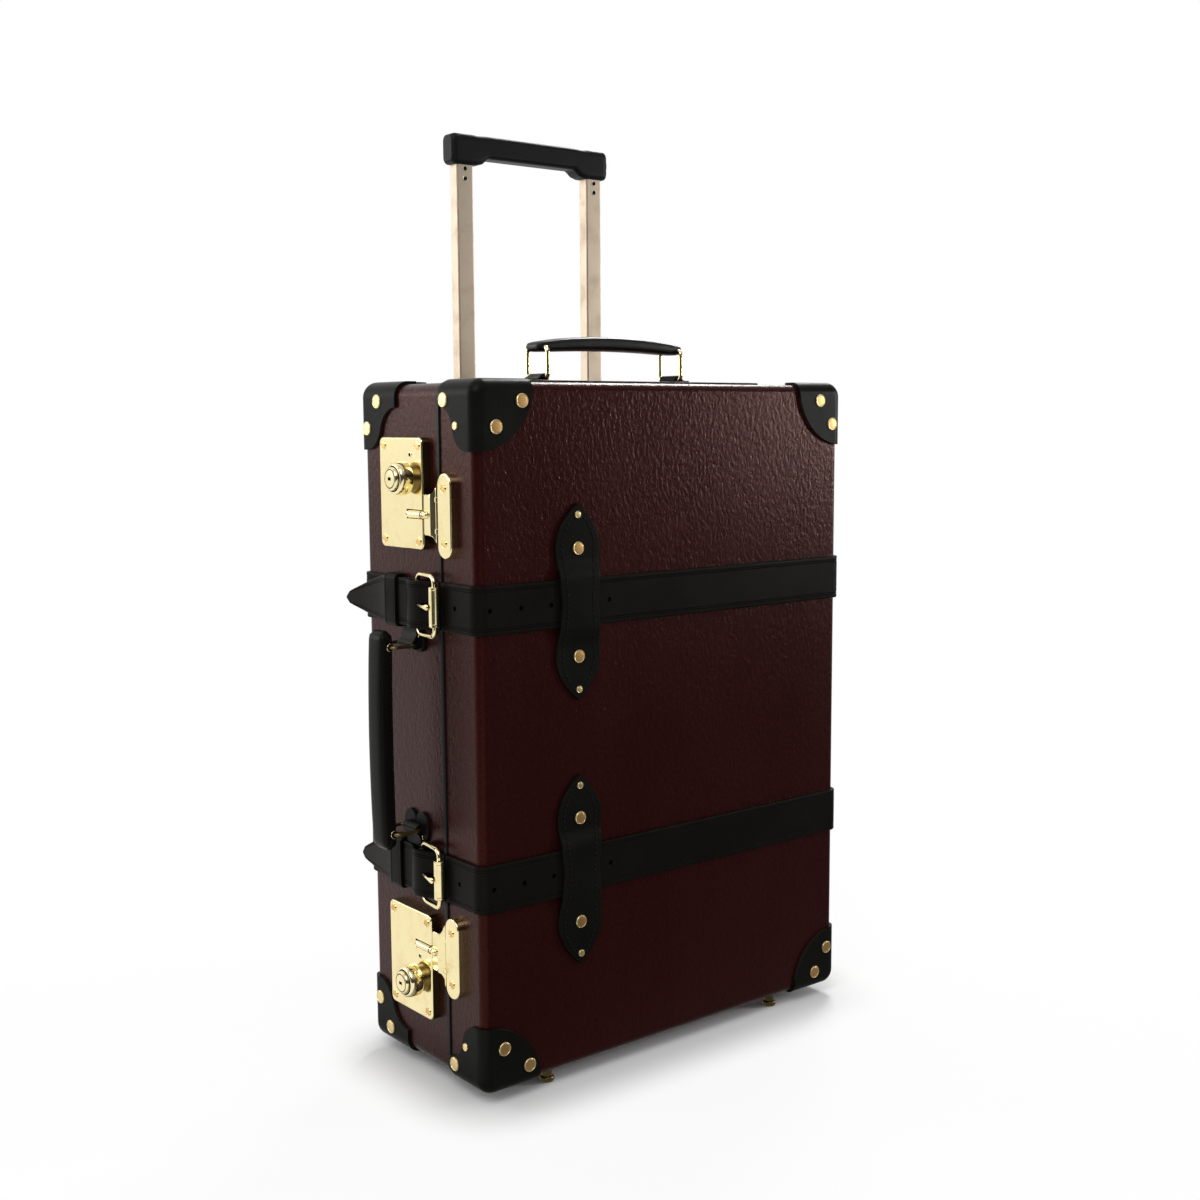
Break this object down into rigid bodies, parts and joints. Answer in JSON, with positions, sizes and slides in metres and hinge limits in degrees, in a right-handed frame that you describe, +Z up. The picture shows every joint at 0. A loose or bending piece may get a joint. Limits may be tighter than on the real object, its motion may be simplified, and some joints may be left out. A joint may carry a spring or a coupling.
{
  "type": "wheeled carry-on suitcase",
  "caption": "Upright fibre suitcase with leather belts, corner caps and handles, brass locks and buckles, a hinged lid, a telescopic trolley handle and wheels.",
  "frame": {"origin": "on the floor, under the middle of the fibre shell's width and depth", "axes": "+X to the right seen from the front, +Y to the back, +Z up; the lid is the front at -Y"},
  "size_m": [0.4259, 0.2139, 0.7635],
  "materials": {
    "fibre": "vulcanised fibre, satin with fine grain",
    "lining": "woven lining",
    "band": "satin moulding",
    "leather": "satin bridle leather",
    "brass": "polished",
    "steel": "turned",
    "aluminium": "brushed, champagne anodised",
    "black_plastic": "matte moulded",
    "tyre": "moulded rubber"
  },
  "bodies": {
    "base": {"base_shell": "fibre", "base_band": "band", "base_lining": "lining", "base_caps_top": "leather", "base_caps_bottom": "leather", "base_rivets": "brass", "base_hinge_leaves": "brass", "hinge_pins": "steel", "upper_back_strap": "leather", "lower_back_strap": "leather", "upper_strap_tail": "leather", "lower_strap_tail": "leather", "strap_keepers": "leather", "upper_lock_plate": "brass", "lower_lock_plate": "brass", "top_handle_chapes": "leather", "side_handle_chapes": "leather", "trolley_housing": "black_plastic", "housing_foot": "black_plastic", "trolley_outer_tubes": "aluminium", "trolley_collars": "aluminium", "wheel_axles": "steel"},
    "lid": {"lid_shell": "fibre", "lid_lining": "lining", "lid_caps_top": "leather", "lid_caps_bottom": "leather", "lid_rivets": "brass", "lid_hinge_leaves": "brass", "upper_front_strap": "leather", "lower_front_strap": "leather", "upper_strap_loop": "leather", "lower_strap_loop": "leather", "upper_hasp_plate": "brass", "lower_hasp_plate": "brass", "front_feet": "brass"},
    "upper_hasp": {"upper_hasp_flap": "brass"},
    "upper_knob": {"upper_lock_knob": "brass"},
    "upper_buckle": {"upper_buckle_frame": "brass"},
    "upper_roller": {"upper_buckle_roller": "brass"},
    "upper_prong": {"upper_buckle_prong": "brass"},
    "lower_hasp": {"lower_hasp_flap": "brass"},
    "lower_knob": {"lower_lock_knob": "brass"},
    "lower_buckle": {"lower_buckle_frame": "brass"},
    "lower_roller": {"lower_buckle_roller": "brass"},
    "lower_prong": {"lower_buckle_prong": "brass"},
    "left_link": {"left_handle_link": "brass"},
    "right_link": {"right_handle_link": "brass"},
    "low_link": {"low_handle_link": "brass"},
    "high_link": {"high_handle_link": "brass"},
    "top_grip": {"top_handle_grip": "leather"},
    "side_grip": {"side_handle_grip": "leather"},
    "trolley": {"trolley_inner_tubes": "aluminium", "trolley_grip": "black_plastic", "trolley_plugs": "black_plastic", "trolley_rivets": "aluminium"},
    "button": {"trolley_button": "black_plastic"},
    "left_wheel": {"left_wheel_tyre": "tyre", "left_wheel_hub": "black_plastic"},
    "right_wheel": {"right_wheel_tyre": "tyre", "right_wheel_hub": "black_plastic"}
  },
  "joints": [
    {"name": "lid_hinge", "type": "hinge", "parent": "base", "child": "lid", "pos_m": [0.1965, -0.0316, 0.281], "axis": [0, 0, 1], "range_deg": [0, 120]},
    {"name": "upper_hasp_hinge", "type": "hinge", "parent": "lid", "child": "upper_hasp", "pos_m": [-0.1969, -0.0349, 0.4512], "axis": [0, 0, 1], "range_deg": [0, 100]},
    {"name": "upper_knob_turn", "type": "hinge", "parent": "base", "child": "upper_knob", "pos_m": [-0.217, -0.001, 0.4783], "axis": [1, 0, 0], "range_deg": [0, 90]},
    {"name": "upper_buckle_hinge", "type": "hinge", "parent": "base", "child": "upper_buckle", "pos_m": [-0.197, -0.0055, 0.3825], "axis": [0, 0, -1], "range_deg": [0, 40]},
    {"name": "upper_roller_spin", "type": "hinge", "parent": "upper_buckle", "child": "upper_roller", "pos_m": [-0.2006, -0.0345, 0.3825], "axis": [0, 0, 1], "continuous": true},
    {"name": "upper_prong_hinge", "type": "hinge", "parent": "upper_buckle", "child": "upper_prong", "pos_m": [-0.197, -0.0055, 0.3825], "axis": [0, 0, -1], "range_deg": [0, 25]},
    {"name": "lower_hasp_hinge", "type": "hinge", "parent": "lid", "child": "lower_hasp", "pos_m": [-0.1969, -0.0349, 0.1108], "axis": [0, 0, 1], "range_deg": [0, 100]},
    {"name": "lower_knob_turn", "type": "hinge", "parent": "base", "child": "lower_knob", "pos_m": [-0.217, -0.001, 0.0837], "axis": [1, 0, 0], "range_deg": [0, 90]},
    {"name": "lower_buckle_hinge", "type": "hinge", "parent": "base", "child": "lower_buckle", "pos_m": [-0.197, -0.0055, 0.1715], "axis": [0, 0, -1], "range_deg": [0, 40]},
    {"name": "lower_roller_spin", "type": "hinge", "parent": "lower_buckle", "child": "lower_roller", "pos_m": [-0.2006, -0.0345, 0.1715], "axis": [0, 0, 1], "continuous": true},
    {"name": "lower_prong_hinge", "type": "hinge", "parent": "lower_buckle", "child": "lower_prong", "pos_m": [-0.197, -0.0055, 0.1715], "axis": [0, 0, -1], "range_deg": [0, 25]},
    {"name": "left_link_hinge", "type": "hinge", "parent": "base", "child": "left_link", "pos_m": [-0.0715, 0.0067, 0.5552], "axis": [0, 1, 0], "range_deg": [-60, 60]},
    {"name": "right_link_hinge", "type": "hinge", "parent": "base", "child": "right_link", "pos_m": [0.0715, 0.0067, 0.5552], "axis": [0, 1, 0], "range_deg": [-60, 60]},
    {"name": "top_grip_hinge", "type": "hinge", "parent": "left_link", "child": "top_grip", "pos_m": [-0.0715, 0.0067, 0.5802], "axis": [0, 1, 0], "range_deg": [-60, 60]},
    {"name": "low_link_hinge", "type": "hinge", "parent": "base", "child": "low_link", "pos_m": [-0.1972, 0.008, 0.204], "axis": [0, 1, 0], "range_deg": [-50, 50]},
    {"name": "high_link_hinge", "type": "hinge", "parent": "base", "child": "high_link", "pos_m": [-0.1972, 0.008, 0.35], "axis": [0, 1, 0], "range_deg": [-50, 50]},
    {"name": "side_grip_hinge", "type": "hinge", "parent": "low_link", "child": "side_grip", "pos_m": [-0.2207, 0.008, 0.204], "axis": [0, 1, 0], "range_deg": [-50, 50]},
    {"name": "trolley_slide", "type": "slide", "parent": "base", "child": "trolley", "axis": [0, 0, 1], "range_m": [-0.16, 0.23]},
    {"name": "button_press", "type": "slide", "parent": "trolley", "child": "button", "axis": [-1, 0, 0], "range_m": [0, 0.0025], "stiffness_N_per_m": 200},
    {"name": "left_wheel_spin", "type": "hinge", "parent": "base", "child": "left_wheel", "pos_m": [-0.098, 0.1045, 0.024], "axis": [1, 0, 0], "continuous": true},
    {"name": "right_wheel_spin", "type": "hinge", "parent": "base", "child": "right_wheel", "pos_m": [0.098, 0.1045, 0.024], "axis": [1, 0, 0], "continuous": true}
  ],
  "couplings": [
    {"joint": "right_link_hinge", "follows": "left_link_hinge", "ratio": 1},
    {"joint": "top_grip_hinge", "follows": "left_link_hinge", "ratio": -1},
    {"joint": "high_link_hinge", "follows": "low_link_hinge", "ratio": 1},
    {"joint": "side_grip_hinge", "follows": "low_link_hinge", "ratio": -1}
  ]
}
